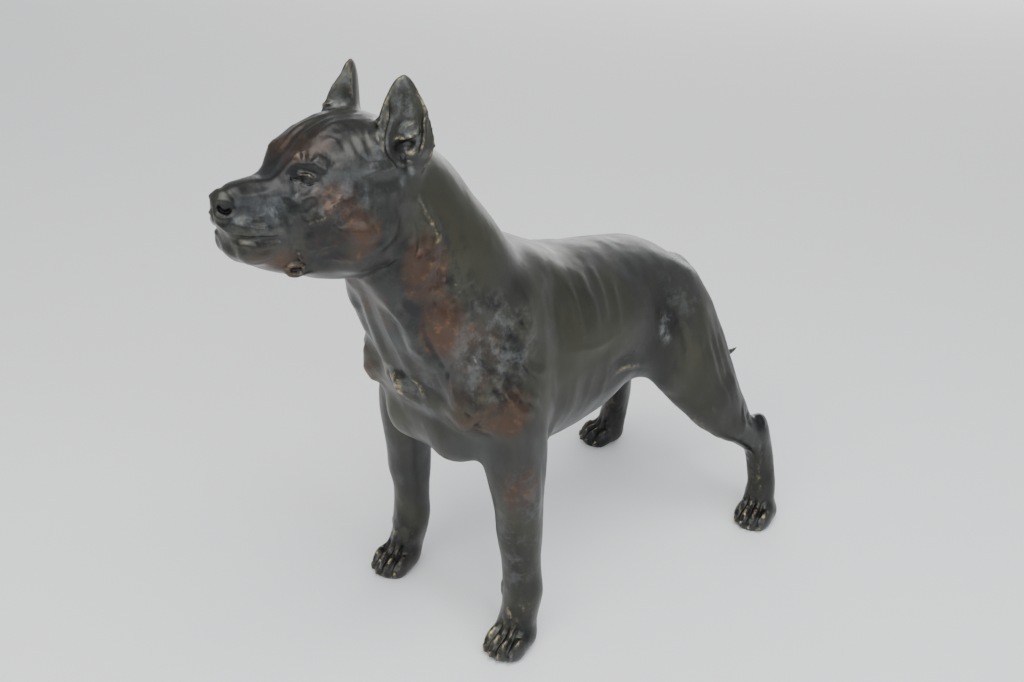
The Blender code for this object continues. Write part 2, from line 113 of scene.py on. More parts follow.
bpy.ops.object.select_all(action="DESELECT")
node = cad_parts["bull_terrier_figure"]
figure = bpy.data.objects.new("bronze_bull_terrier", node.data.copy())
bpy.context.scene.collection.objects.link(figure)
figure.select_set(True)
bpy.context.view_layer.objects.active = figure
bpy.ops.object.mode_set(mode="EDIT")
bpy.ops.mesh.select_all(action="SELECT")
bpy.ops.mesh.remove_doubles(threshold=WELD_DISTANCE)
bpy.ops.mesh.normals_make_consistent(inside=False)
bpy.ops.object.mode_set(mode="OBJECT")
apply_modifier(figure, "round", "SUBSURF", levels=1, render_levels=1)
apply_modifier(figure, "skin", "REMESH", mode="VOXEL", voxel_size=SKIN_STEP)

fine = []
for polygon in figure.data.polygons:
    x, y, z = polygon.center / SHARE
    fine.append(z < PAW_BELOW or (y - FORWARD < HEAD_BEHIND and z > HEAD_ABOVE))
figure.data.polygons.foreach_set("select", fine)
bpy.ops.object.mode_set(mode="EDIT")
bpy.ops.mesh.select_mode(type="FACE")
bpy.ops.mesh.subdivide(number_cuts=1)
bpy.ops.object.mode_set(mode="OBJECT")
print("skin of", len(figure.data.polygons), "faces,", sum(fine), "of them subdivided")

# %% [markdown]
# ## The sculptor's tools
#
# Blender's sculpt brushes need a hand on the mouse. In a script, the same moves are made on arrays: each
# point of the skin knows its place, which way it faces and what its neighbours are. Smoothing moves a point
# towards the middle of its neighbours. The first tools are three small ones for rows of points: a smooth
# curve through a few of them, directions of length one, and an evened line.


# %% Curves and directions
def curve_through(points, steps):
    """Return points on a smooth curve through the given ones."""
    rows = np.array(points, float)
    ends = np.vstack([2 * rows[0] - rows[1], rows, 2 * rows[-1] - rows[-2]])
    smooth = []
    for a, b, c, d in zip(ends, ends[1:], ends[2:], ends[3:]):
        for step in range(steps):
            t = step / steps
            bend = 2 * a - 5 * b + 4 * c - d + t * (3 * (b - c) + d - a)
            smooth.append(b + 0.5 * t * (c - a + t * bend))
    smooth.append(rows[-1])
    return np.array(smooth)


def unit(rows):
    """Scale each row to length one."""
    return rows / (np.linalg.norm(rows, axis=1)[:, None] + 1e-12)


def evened(rows, rounds=8):
    """Smooth a line of values and keep its ends."""
    for _ in range(rounds):
        rows = np.vstack([rows[:1], 0.25 * rows[:-2] + 0.5 * rows[1:-1] + 0.25 * rows[2:], rows[-1:]])
    return rows


# %% [markdown]
# ## The skin as arrays
#
# The clay holds the points, the edges that join them and the triangles between them. From these it works out
# which way each point faces, the mean of each point's neighbours, and how far each point belongs to a region,
# so that a tool can be kept to one part of the dog.


# %% Clay that can be smoothed
class Clay:
    """The skin of the figure: the places of its points, the way they face and what they are joined to."""

    def __init__(self, piece):
        mesh = piece.data
        self.mesh = mesh
        self.places = np.empty(len(mesh.vertices) * 3, np.float32)
        mesh.vertices.foreach_get("co", self.places)
        self.places = self.places.reshape(-1, 3).astype(float)
        edges = np.empty(len(mesh.edges) * 2, np.int32)
        mesh.edges.foreach_get("vertices", edges)
        self.starts, self.ends = edges.reshape(-1, 2).T
        mesh.calc_loop_triangles()
        corners = np.empty(len(mesh.loop_triangles) * 3, np.int32)
        mesh.loop_triangles.foreach_get("vertices", corners)
        self.corners = corners.reshape(-1, 3)
        size = len(self.places)
        self.joined = np.bincount(self.starts, minlength=size) + np.bincount(self.ends, minlength=size)
        self.turn_normals()

    def turn_normals(self):
        """Work out afresh which way each point faces."""
        a, b, c = (self.places[self.corners[:, k]] for k in range(3))
        across = np.cross(b - a, c - a)
        self.normals = np.zeros_like(self.places)
        for axis in range(3):
            for k in range(3):
                self.normals[:, axis] += np.bincount(self.corners[:, k], across[:, axis], len(self.places))
        self.normals = unit(self.normals)

    def neighbour_means(self, values):
        """Return the mean value of each point's neighbours."""
        total = np.empty_like(values)
        for axis in range(values.shape[1]):
            total[:, axis] = np.bincount(self.starts, values[self.ends, axis], len(values))
            total[:, axis] += np.bincount(self.ends, values[self.starts, axis], len(values))
        return total / self.joined[:, None]

    def smooth(self, rounds, weight=0.5):
        """Smooth the skin, everywhere alike or with a weight for each point."""
        weight = np.broadcast_to(weight, len(self.places))[:, None]
        for _ in range(rounds):
            self.places += weight * (self.neighbour_means(self.places) - self.places)
        self.turn_normals()

    def region(self, centre, radii):
        """Return how much each point belongs to an ellipsoid, from 0 outside to 1 at its middle."""
        x, y, z = centre
        away = (self.places / SHARE - (x, y + FORWARD, z)) / radii
        return np.clip(1 - np.sum(away * away, axis=1), 0, 1)

    def give_back(self):
        """Put the places back into the mesh."""
        self.mesh.vertices.foreach_set("co", self.places.astype(np.float32).ravel())
        self.mesh.update()


clay = Clay(figure)
print("clay of", len(clay.places), "points")

# %% [markdown]
# ## The stroke
#
# A stroke raises or hollows the skin along a curve, most at the curve and less towards the brush's edge, and
# it fades out at both ends as a thumb does. A leaning stroke is steeper on one side, which is how one fold of
# skin lies over another. The curve's points only have to be near the skin: each first moves to the closest
# point of the clay.

# %% One stroke, its mirror image and a table of strokes
CURVE_STEPS = 10
SEARCH_MARGIN = 0.008
FADING_PART = 0.3
END_SHARE = 0.15


def one_stroke(radius, height, lean, points):
    """Raise or hollow the clay along a curve that first snaps onto it."""
    reach = radius * SHARE
    widest = reach * (1 + abs(lean))
    line = curve_through(points, CURVE_STEPS)
    line[:, 1] += FORWARD
    line *= SHARE
    low = line.min(0) - widest - SEARCH_MARGIN
    high = line.max(0) + widest + SEARCH_MARGIN
    near = np.flatnonzero(np.all((clay.places > low) & (clay.places < high), axis=1))
    if len(near) == 0:
        print("a stroke misses the clay at", points[0])
        return
    here = clay.places[near]
    spread = np.linalg.norm(here[:, None, :] - line[None, :, :], axis=2).argmin(0)
    line = evened(here[spread])
    facing = unit(evened(clay.normals[near][spread]))
    spread = np.linalg.norm(here[:, None, :] - line[None, :, :], axis=2)
    closest = spread.argmin(1)
    sideways = np.cross(facing, np.gradient(line, axis=0))
    side = np.sign(np.einsum("ij,ij->i", here - line[closest], sideways[closest]))
    away = np.clip(spread.min(1) / (reach * (1 + lean * side)), 0, 1)
    share = (1 - away ** 2) ** 2
    share *= np.clip(np.einsum("ij,ij->i", clay.normals[near], facing[closest]), 0, 1)
    if len(points) > 2:
        along = closest / (len(line) - 1)
        fade = np.clip(np.minimum(along, 1 - along) / FADING_PART, 0, 1)
        share *= END_SHARE + (1 - END_SHARE) * fade * fade * (3 - 2 * fade)
    clay.places[near] += facing[closest] * (share * height * SHARE)[:, None]


def stroke(radius, height, lean, points):
    """Make a stroke on the dog's left and its mirror image on the right, or one stroke on the middle line."""
    middle = all(x == 0 for x, _, _ in points)
    for side in (1,) if middle else (1, -1):
        one_stroke(radius, height, side * lean, [(side * x, y, z) for x, y, z in points])


def work(strokes):
    """Make all strokes of a table and look again which way the skin faces."""
    for row in strokes:
        stroke(*row)
    clay.turn_normals()


print("strokes of", CURVE_STEPS, "steps between two points")

# %% [markdown]
# ## One skin, evenly drawn
#
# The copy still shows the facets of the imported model, and a seam where the neck flows into the withers. A few
# rounds of smoothing take the facets away, and a weight limits the long smoothing to the withers and the
# flanks.

# %% Smooth the facets
FACET_ROUNDS = 14
LONG_ROUNDS = 90


def both_sides(centre, radii):
    """Return how much each point belongs to an ellipsoid on the left or to its mirror image."""
    x, y, z = centre
    return np.maximum(clay.region((x, y, z), radii), clay.region((-x, y, z), radii))


clay.smooth(FACET_ROUNDS)
withers = clay.region((0, -24, 99), (28, 28, 26))
loin = clay.region((0, 30, 82), (26, 26, 22))
ribs = both_sides((18, 4, 72), (12, 30, 24))
shoulders = both_sides((17, -30, 80), (12, 20, 24))
long_weight = np.clip(3 * np.maximum.reduce([withers, loin, ribs, 0.7 * shoulders]), 0, 1)
clay.smooth(LONG_ROUNDS, 0.7 * long_weight)
print("smoothed; points in the long smoothing:", int((long_weight > 0).sum()))

# %% [markdown]
# ## The stance of the paws
#
# The fore paws are turned a little to the dog's left and the hind paws outwards, as in the photograph. The
# turn is full at the toes and dies away up to the pastern, the short sloping bone over the paw, so the leg
# itself stays.

# %% Turn the paws
PAWS = [(23.0, -33.4, 10.0), (-23.0, -33.4, 12.0), (31.0, 61.0, 10.0), (-31.0, 61.0, -10.0)]
PASTERN_TOP = 12.5
TURN_FADE = 6
PAW_REACH = 12


def turn_paw(x, y, degrees):
    """Turn one paw about an upright axis, less and less up to the pastern."""
    offset = clay.places[:, :2] / SHARE - (x, y + FORWARD)
    height = clay.places[:, 2] / SHARE
    share = np.clip((PASTERN_TOP - height) / TURN_FADE, 0, 1)
    share = share * (np.hypot(offset[:, 0], offset[:, 1]) < PAW_REACH)
    angle = np.radians(degrees) * share * share * (3 - 2 * share)
    turned_x = offset[:, 0] * np.cos(angle) - offset[:, 1] * np.sin(angle)
    turned_y = offset[:, 0] * np.sin(angle) + offset[:, 1] * np.cos(angle)
    clay.places[:, 0] = (turned_x + x) * SHARE
    clay.places[:, 1] = (turned_y + y + FORWARD) * SHARE


for paw in PAWS:
    turn_paw(*paw)
clay.turn_normals()
print("paws turned:", len(PAWS))

# %% [markdown]
# ## Eyes and brows
#
# A dog's eye is a small ball in a deep socket, with an upper lid that stands over it and a thinner lower one.
# Over it sits the brow: a small bump at its inner end, a groove, and the broad bone behind. Each table row is
# one stroke: the brush's radius, the height at its middle, its lean, and the points it passes. The brow and
# the socket come first.

# %% Brows and sockets
work([
    (1.5, 0.5, 0, [(4.5, -79.9, 134.6), (4.0, -79.0, 135.9), (3.7, -78.2, 136.5)]),
    (3.0, 0.5, 0, [(6.3, -77.2, 135.5), (7.8, -76.3, 134.3), (9.2, -74.8, 132.9)]),
    (0.9, -0.3, 0, [(4.6, -77.7, 136.6), (5.7, -78.4, 135.4), (5.8, -79.2, 133.9)]),
    (1.3, -0.35, 0.3, [(5.2, -80.1, 133.2), (6.9, -78.5, 133.0), (8.5, -76.9, 132.3)]),
    (1.7, -0.45, 0, [(5.2, -80.6, 131.3), (6.9, -79.2, 131.1), (8.1, -77.9, 130.7)]),
])
print("brows and sockets")

# %% [markdown]
# Now the ball of the eye goes into its socket, with the ridges at its inner corner and under it, and at last
# the two lids and the tear corner. They are the finest strokes of the dog, one or two millimetres high.

# %% Eyeball, lids and folds
work([
    (1.25, 0.5, 0, [(6.9, -79.2, 131.3), (7.4, -78.7, 131.2)]),
    (1.7, 0.34, 0, [(4.1, -81.8, 132.4), (4.5, -81.8, 130.8), (5.6, -82.3, 128.7), (6.8, -82.5, 126.4)]),
    (2.2, 0.5, 0, [(6.6, -82.7, 126.0), (7.5, -81.0, 127.1), (8.4, -79.3, 128.5), (9.3, -77.2, 129.9)]),
    (0.9, -0.2, 0, [(6.0, -81.3, 129.6), (7.2, -80.4, 128.9), (8.3, -79.0, 129.4)]),
    (1.9, -0.28, 0, [(7.9, -81.8, 125.0), (8.7, -80.2, 126.0), (9.6, -78.4, 127.4)]),
])
work([
    (0.55, 0.42, 0.4, [(5.2, -80.3, 131.6), (6.1, -79.5, 132.2), (7.1, -78.6, 132.0), (8.1, -77.7, 131.1)]),
    (0.5, 0.3, -0.3, [(5.5, -80.3, 130.8), (6.6, -79.5, 130.2), (7.5, -78.6, 130.1), (8.2, -77.7, 130.6)]),
    (0.5, -0.35, 0, [(4.8, -80.9, 131.4), (5.5, -80.3, 131.2)]),
])
print("eyes")

# %% [markdown]
# ## Cheeks, temples and skull
#
# The chewing muscle stands out round on the cheek, with bright knots where the cheekbone comes near the skin.
# At the temple the thin skin creases in soft rays towards the ear, and furrows sweep from the brows over the
# skull.

# %% Cheeks
CHEEKS = [
    (2.6, 0.3, 0, [(11.4, -73.4, 120.4), (12.9, -69.4, 120.0)]),
    (1.3, 0.35, 0, [(9.3, -80.2, 123.5), (10.4, -78.3, 124.0)]),
    (1.4, 0.38, 0, [(10.7, -77.8, 125.0), (11.4, -75.8, 126.7), (11.8, -73.6, 128.2)]),
    (1.3, -0.25, 0, [(9.8, -78.8, 125.2), (10.6, -77.2, 126.9), (11.0, -75.4, 128.4)]),
    (2.4, -0.24, 0, [(10.9, -77.0, 122.4), (11.8, -74.0, 123.8), (12.4, -71.4, 125.6)]),
    (1.9, 0.35, 0, [(12.7, -68.7, 126.4), (13.3, -68.7, 123.0)]),
    (2.2, -0.4, 0, [(8.0, -79.4, 114.4), (9.8, -76.6, 115.9), (12.9, -71.9, 116.4), (13.8, -66.3, 117.5),
                    (12.4, -59.6, 118.8)]),
    (2.3, -0.4, 0, [(6.5, -82.8, 126.1), (7.0, -82.8, 123.9), (7.1, -82.6, 121.1), (6.9, -82.2, 118.2),
                    (6.9, -81.6, 116.3)]),
    (1.5, 0.3, 0, [(8.7, -80.6, 121.6), (8.9, -79.8, 118.6), (8.8, -79.4, 116.2)]),
]
print("strokes on each cheek:", len(CHEEKS))

# %% [markdown]
# The temple's rays are short strokes side by side, raised and hollow in turn. The skull's furrows are long
# and shallow, and the middle one lies on the line x = 0, so it is made only once.

# %% Temples and skull
TEMPLES_AND_SKULL = [
    (1.0, 0.06, 0, [(6.0, -71.7, 138.4), (7.1, -71.8, 137.1), (8.3, -71.2, 135.7)]),
    (1.0, -0.04, 0, [(6.8, -70.6, 137.9), (8.0, -70.6, 136.5), (9.1, -70.4, 135.1)]),
    (1.0, 0.07, 0, [(7.4, -69.5, 137.5), (8.7, -69.4, 136.0), (9.9, -69.3, 134.5)]),
    (1.0, -0.05, 0, [(7.7, -68.3, 137.7), (9.0, -68.3, 136.2), (10.2, -68.3, 134.5)]),
    (1.0, 0.07, 0, [(8.0, -67.2, 137.7), (9.2, -67.2, 136.4), (10.6, -67.2, 134.5)]),
    (1.3, -0.1, 0, [(8.2, -65.8, 137.9), (9.8, -65.8, 136.4), (11.1, -65.7, 134.4)]),
    (1.1, 0.35, 0, [(7.6, -64.2, 138.6), (9.6, -64.0, 137.8), (11.0, -63.5, 136.0)]),
    (1.6, 0.55, 0.4, [(11.5, -69.2, 131.2), (11.9, -65.6, 131.6), (12.0, -62.8, 131.6),
                      (11.5, -59.6, 131.4)]),
    (2.3, -0.75, 0, [(12.3, -68.4, 129.4), (12.4, -62.8, 128.8), (11.9, -57.6, 128.4)]),
    (1.6, -0.3, 0, [(0.0, -82.4, 134.0), (0.0, -78.6, 136.6), (0.0, -74.0, 139.4), (0.0, -68.0, 140.8),
                    (0.0, -61.0, 140.6)]),
    (1.4, -0.25, 0, [(2.9, -78.2, 136.9), (2.9, -73.3, 139.6), (2.4, -68.3, 141.0), (4.2, -60.5, 140.4)]),
    (1.1, 0.15, 0, [(1.4, -79.0, 136.4), (1.4, -73.0, 139.9), (1.3, -67.0, 141.0)]),
    (1.6, -0.14, 0, [(4.4, -75.6, 137.8), (5.0, -72.0, 139.0), (5.4, -67.6, 139.8), (6.2, -63.4, 139.6)]),
]
work(CHEEKS + TEMPLES_AND_SKULL)
print("strokes on temples and skull:", len(TEMPLES_AND_SKULL))

# %% [markdown]
# ## Muzzle
#
# The nose is a flat pad with two comma-shaped nostrils and a groove down its middle. The upper lip hangs in a
# soft fold over the lower one and ends in a small loop of skin at the corner of the jaw, which the sculptor
# undercut.

# %% Lips, chin and bridge of the nose
work([
    (2.8, -0.8, 0, [(0.0, -96.8, 121.2), (0.0, -96.4, 120.0)]),
    (2.6, -0.5, 0, [(2.4, -95.8, 120.6), (3.0, -94.9, 119.4)]),
    (3.4, 0.6, 0, [(0.0, -93.6, 116.8), (0.0, -92.4, 116.2)]),
    (1.8, -0.3, 0, [(2.8, -91.6, 131.2), (3.4, -88.0, 131.6), (3.9, -84.6, 132.0)]),
    (1.5, 0.4, 0, [(3.4, -94.7, 124.8), (5.3, -92.0, 124.3), (6.4, -89.1, 123.4), (7.1, -85.9, 122.9)]),
    (0.8, -0.38, -0.3, [(1.0, -96.0, 122.6), (3.9, -93.9, 122.2), (6.0, -90.0, 121.6), (6.6, -87.0, 121.0),
                        (6.9, -84.6, 120.6)]),
    (0.9, 0.36, 0, [(1.6, -95.2, 120.9), (4.2, -93.0, 120.6), (5.8, -90.6, 120.2), (6.4, -87.6, 119.6),
                    (6.7, -85.0, 119.6)]),
    (0.9, -0.22, 0, [(4.4, -92.8, 119.3), (6.0, -89.4, 118.6), (6.5, -86.6, 118.8)]),
    (0.9, 0.14, 0, [(4.6, -92.4, 117.9), (6.0, -89.0, 117.2), (6.5, -86.6, 117.4)]),
    (0.9, 0.3, 0, [(1.7, -95.6, 129.5), (3.0, -93.8, 129.4)]),
    (0.8, -0.12, 0, [(0.0, -93.8, 132.0), (1.6, -93.4, 131.4), (3.0, -92.9, 130.3), (4.0, -92.8, 128.6)]),
    (0.55, -0.28, 0, [(0.0, -97.2, 128.4), (0.0, -97.0, 125.6), (0.0, -96.6, 123.2)]),
])
print("lips and chin")

# %% [markdown]
# The nostrils are cut with a thin brush, and a raised edge follows each of them. The loop of skin at the
# corner of the mouth is a ring of two raised strokes round a hole.

# %% Nostrils and lip fold
work([
    (0.6, -0.85, 0, [(1.5, -95.7, 128.6), (1.6, -95.5, 127.5), (2.5, -94.6, 127.1), (3.2, -93.5, 127.9)]),
    (0.6, 0.24, 0, [(0.6, -96.6, 127.2), (1.6, -96.0, 126.2), (2.9, -94.8, 126.0), (3.8, -93.4, 127.2)]),
    (0.7, -0.25, 0, [(0.9, -96.6, 125.2), (2.2, -95.8, 124.9), (3.6, -94.2, 125.4)]),
    (0.8, 0.5, 0, [(6.9, -81.7, 116.2), (7.0, -81.4, 115.4)]),
    (0.6, 0.45, 0, [(5.7, -84.8, 113.5), (6.6, -83.4, 114.3), (7.2, -81.6, 114.2), (7.1, -80.0, 113.2)]),
    (0.6, 0.35, 0, [(5.7, -84.6, 112.4), (6.6, -82.8, 111.7), (7.1, -80.8, 111.8)]),
])
work([
    (0.75, -0.8, 0, [(6.8, -83.2, 113.1), (7.2, -81.6, 113.0)]),
    (0.8, 0.2, 0, [(4.6, -92.6, 126.4), (5.6, -90.8, 125.6), (6.4, -88.2, 125.2)]),
    (0.7, -0.16, 0, [(4.9, -91.9, 125.4), (6.0, -89.9, 124.6), (6.8, -87.2, 124.2)]),
])
print("nostrils and lip folds")

# %% [markdown]
# ## Ears
#
# Cropped ears stand like two cupped leaves. Inside, a strip of skin turns in along the front edge, a rim runs
# round the back, and two folds cross the deep hollow at the base. Deep grooves come first, then the ridges
# between them.

# %% Ears
FRONT_EDGE = [(8.5, -58.2, 147.4), (9.1, -59.5, 143.8), (9.3, -59.6, 141.7), (9.5, -60.4, 139.6),
              (10.0, -61.6, 137.8), (10.8, -62.3, 135.5), (11.3, -61.8, 133.4), (11.5, -60.3, 131.4)]
REAR_EDGE = [(10.0, -54.8, 146.2), (11.1, -53.9, 142.6), (11.4, -53.8, 140.4), (11.7, -53.9, 138.2),
             (11.9, -54.3, 135.6), (11.8, -55.2, 133.2), (11.2, -56.2, 131.0)]
work([
    (0.75, -0.5, 0, FRONT_EDGE),
    (0.8, 0.3, 0, [(x - 0.2, y - 1.1, z) for x, y, z in FRONT_EDGE[1:]]),
    (0.85, -0.45, 0, REAR_EDGE),
    (0.7, 0.35, 0, [(x + 0.2, y + 1.0, z) for x, y, z in REAR_EDGE]),
    (1.5, -0.9, 0, [(10.7, -60.0, 133.8), (9.9, -58.2, 134.6), (10.2, -56.2, 134.8), (11.4, -54.8, 135.6)]),
    (0.8, 0.35, 0, [(7.8, -55.8, 147.9), (7.3, -57.2, 146.2), (6.9, -57.6, 144.0), (6.6, -57.8, 141.9),
                    (6.2, -57.7, 140.3)]),
    (0.9, 0.45, 0, [(7.0, -61.4, 140.2), (8.6, -62.4, 140.0), (9.9, -62.9, 139.3)]),
])
work([
    (0.7, 0.5, 0, [(10.3, -61.0, 136.0), (9.8, -58.9, 136.6), (10.0, -56.8, 136.2), (10.8, -55.2, 136.7),
                   (11.4, -54.2, 137.8)]),
    (0.8, -0.32, 0, [(9.5, -58.5, 138.8), (9.7, -56.8, 139.5), (10.4, -55.2, 140.1)]),
    (0.6, 0.25, 0, [(9.6, -58.0, 137.8), (10.1, -55.9, 138.6), (10.9, -54.6, 139.3)]),
    (1.0, 0.5, 0, [(9.9, -57.5, 132.6), (11.0, -55.7, 133.1)]),
    (0.7, 0.4, 0, [(11.5, -60.6, 132.4), (11.1, -58.6, 131.3), (10.7, -57.0, 131.0), (11.2, -55.8, 130.8)]),
])
work([
    (1.5, -0.5, 0, [(12.3, -53.0, 142.0), (12.6, -52.6, 138.0), (12.6, -53.0, 134.6), (12.0, -54.4, 131.0)]),
])
clay.smooth(1, 0.3)
print("ears, with edges of", len(FRONT_EDGE), "and", len(REAR_EDGE), "points")

# %% [markdown]
# ## Neck and chest
#
# Below the ear a loop of loose skin hangs over the neck. Two pairs of muscles run down the throat like a V
# and meet at the breastbone, which stands out as a knob over the deep chest.

# %% Neck and chest
work([
    (1.8, 0.75, 0.4, [(13.0, -55.1, 123.4), (13.5, -54.4, 120.4), (14.1, -52.7, 116.8),
                      (14.4, -52.0, 114.5), (14.4, -53.2, 112.4)]),
    (1.3, -0.5, 0, [(12.6, -56.6, 121.4), (13.1, -55.4, 117.6), (13.2, -55.2, 114.8), (13.0, -55.8, 112.4),
                    (12.7, -57.2, 109.8)]),
    (2.0, 0.6, 0, [(14.4, -53.0, 111.0), (13.9, -53.7, 108.0), (13.4, -54.5, 105.0)]),
    (1.6, -0.4, 0, [(14.9, -50.0, 113.0), (14.8, -50.6, 107.0), (14.0, -52.4, 101.0)]),
    (1.8, -0.5, 0, [(0.0, -62.2, 102.8), (4.0, -63.6, 104.8), (7.7, -63.1, 107.0), (11.3, -60.0, 110.0),
                    (12.5, -57.6, 112.0)]),
    (2.4, 0.55, 0, [(4.1, -60.9, 100.8), (8.6, -58.2, 96.4), (10.5, -54.9, 89.4), (10.2, -51.7, 82.3),
                    (8.8, -50.0, 76.0)]),
    (1.8, 0.45, 0, [(2.1, -60.6, 101.0), (3.0, -57.9, 92.7), (3.5, -55.0, 85.3), (3.2, -52.3, 78.0)]),
    (1.9, -0.5, 0, [(5.4, -59.6, 99.6), (6.6, -56.6, 92.0), (6.8, -54.0, 85.0), (6.0, -52.0, 78.6)]),
    (1.8, -0.5, 0, [(12.9, -54.3, 99.0), (12.4, -53.8, 92.2), (12.8, -51.4, 86.0), (13.8, -48.8, 79.0)]),
    (2.6, 0.45, 0, [(14.6, -50.8, 99.0), (15.8, -48.2, 90.0), (17.6, -44.9, 80.0)]),
    (2.7, 0.75, 0, [(0.0, -50.9, 75.2), (0.0, -50.6, 72.8)]),
    (1.2, -0.45, 0, [(0.0, -51.2, 77.6), (3.2, -51.4, 76.6), (5.0, -51.0, 73.2), (3.4, -50.4, 70.4)]),
    (1.2, 0.35, 0, [(4.6, -51.0, 78.6), (6.6, -50.8, 75.0), (7.2, -49.8, 71.0)]),
    (1.9, -0.4, 0, [(9.0, -49.8, 67.6), (13.0, -47.2, 66.6), (17.7, -43.4, 64.6), (23.0, -38.6, 63.0)]),
    (2.4, 0.35, 0, [(9.8, -49.6, 71.0), (14.6, -46.8, 70.8), (19.0, -42.8, 68.8)]),
])
print("neck and chest")

# %% [markdown]
# ## Shoulder, ribs and hindquarters
#
# On the body the modelling is broad and soft: the edge of the shoulder blade, faint ribs, the fold that joins
# flank and thigh, the long line between the two thigh muscles, and the tendons above the hock.

# %% Shoulder and ribs
SHOULDER_AND_RIBS = [
    (3.2, 0.26, 0, [(12.9, -20.6, 98.2), (16.8, -21.6, 90.0), (19.6, -22.6, 81.0), (21.1, -22.8, 70.0),
                    (20.8, -21.0, 58.0)]),
    (3.0, -0.22, 0, [(11.6, -13.0, 95.4), (16.4, -16.2, 88.0), (19.2, -17.3, 78.0), (20.2, -17.6, 66.0),
                     (20.4, -19.2, 56.0)]),
    (3.2, 0.4, 0, [(13.8, -29.0, 97.2), (17.6, -28.6, 90.0), (20.4, -28.6, 81.0)]),
    (2.2, -0.35, 0, [(16.4, -36.6, 95.0), (19.0, -34.0, 87.0), (21.4, -32.0, 78.6)]),
    (2.2, 0.45, 0, [(21.6, -38.6, 75.4), (23.6, -34.8, 71.0), (24.2, -30.4, 67.4)]),
    (2.0, -0.3, 0, [(22.4, -29.6, 81.0), (23.6, -27.2, 74.0), (24.0, -25.6, 66.0)]),
    (1.9, 0.26, 0, [(9.2, -2.2, 93.3), (14.0, -3.9, 89.4), (17.2, -3.2, 84.3), (18.8, -3.8, 78.0)]),
    (1.9, 0.26, 0, [(7.8, 2.5, 93.0), (12.9, 1.7, 89.3), (16.4, 0.8, 84.7), (18.4, 0.2, 78.0)]),
    (1.9, 0.26, 0, [(12.4, -9.4, 92.6), (16.4, -10.0, 86.4), (19.2, -9.6, 78.0)]),
    (1.9, 0.22, 0, [(12.6, 6.4, 88.4), (16.6, 5.6, 82.4), (18.8, 4.8, 76.4)]),
    (1.9, 0.24, 0, [(20.6, -12.0, 72.0), (20.4, -12.6, 64.0), (17.4, -13.6, 55.0)]),
    (1.9, 0.24, 0, [(20.4, -6.0, 71.6), (20.0, -6.8, 64.0), (17.4, -8.0, 56.0)]),
    (1.9, 0.24, 0, [(20.0, 0.0, 71.0), (19.6, -0.6, 64.0), (17.4, -2.0, 57.0)]),
    (1.3, 0.12, 0, [(19.9, -15.9, 77.2), (20.3, -9.5, 76.4), (20.2, -3.0, 75.0), (19.1, 5.2, 75.7)]),
    (2.8, -0.2, 0, [(20.2, -13.0, 73.8), (20.4, -5.0, 72.6), (19.4, 3.0, 72.8)]),
]
print("strokes on each side of the trunk:", len(SHOULDER_AND_RIBS))

# %% [markdown]
# The flank's fold leads into the thigh, and behind the thigh the strong tendon runs down to the heel. Strokes
# on the legs follow the bones, so the shin and the wrist look hard under the skin.

# %% Flank, thigh and legs
THIGHS_AND_LEGS = [
    (1.5, 0.4, 0.3, [(18.9, 2.2, 64.4), (18.7, 6.0, 64.8), (18.5, 11.0, 63.8), (18.4, 20.1, 60.4)]),
    (1.6, -0.3, 0, [(19.0, 2.0, 67.4), (18.9, 8.6, 67.2), (18.8, 15.0, 66.0)]),
    (2.6, 0.4, 0, [(16.8, 22.6, 74.6), (18.8, 23.4, 68.4)]),
    (2.4, -0.45, 0, [(19.4, 28.2, 72.6), (20.8, 29.4, 66.6), (22.0, 30.2, 60.4)]),
    (2.2, 0.3, 0, [(21.6, 33.6, 68.0), (23.0, 34.6, 60.0), (24.4, 37.0, 52.0)]),
    (1.9, -0.4, 0, [(21.2, 38.3, 70.4), (24.2, 39.6, 61.8), (26.4, 41.6, 53.1), (28.2, 45.6, 44.5)]),
    (2.3, 0.35, 0, [(21.4, 43.4, 68.8), (24.4, 44.6, 59.6), (26.2, 47.0, 51.0), (27.6, 49.0, 45.0)]),
    (1.2, 0.35, 0, [(27.7, 51.4, 41.8), (28.8, 50.6, 38.2), (28.8, 51.6, 33.6)]),
    (1.4, -0.5, 0, [(27.6, 54.4, 38.8), (29.0, 53.6, 36.4), (29.4, 55.4, 33.4)]),
    (1.7, 0.4, 0, [(27.2, 61.4, 34.0), (29.0, 60.8, 32.2)]),
    (1.2, -0.3, 0, [(30.2, 58.6, 29.5), (30.6, 60.2, 21.1), (31.9, 60.8, 13.6)]),
    (1.8, -0.22, 0, [(25.6, -36.0, 57.0), (26.2, -34.4, 48.0), (25.9, -33.0, 38.0), (25.2, -32.2, 28.0)]),
    (2.0, 0.25, 0, [(26.6, -31.6, 57.0), (27.0, -30.2, 47.0), (26.2, -29.6, 37.0)]),
    (1.5, 0.35, 0, [(18.9, -32.6, 17.0), (18.7, -32.8, 15.0)]),
    (1.2, 0.3, 0, [(22.4, -35.0, 12.2), (23.2, -35.2, 10.6)]),
    (0.9, 0.25, 0, [(24.8, -34.8, 10.4), (25.2, -34.7, 9.6)]),
    (0.9, 0.22, 0, [(25.4, -33.6, 14.4), (25.8, -33.2, 13.2)]),
]
work(SHOULDER_AND_RIBS + THIGHS_AND_LEGS)
print("strokes on each side of thighs and legs:", len(THIGHS_AND_LEGS))

# %% [markdown]
# ## Paws
#
# Each toe is an arch with a knuckle on top and a strong nail in front, and the clefts between the toes run
# far up the foot. One function makes a paw in the paw's own directions, and a loop calls it for all four.


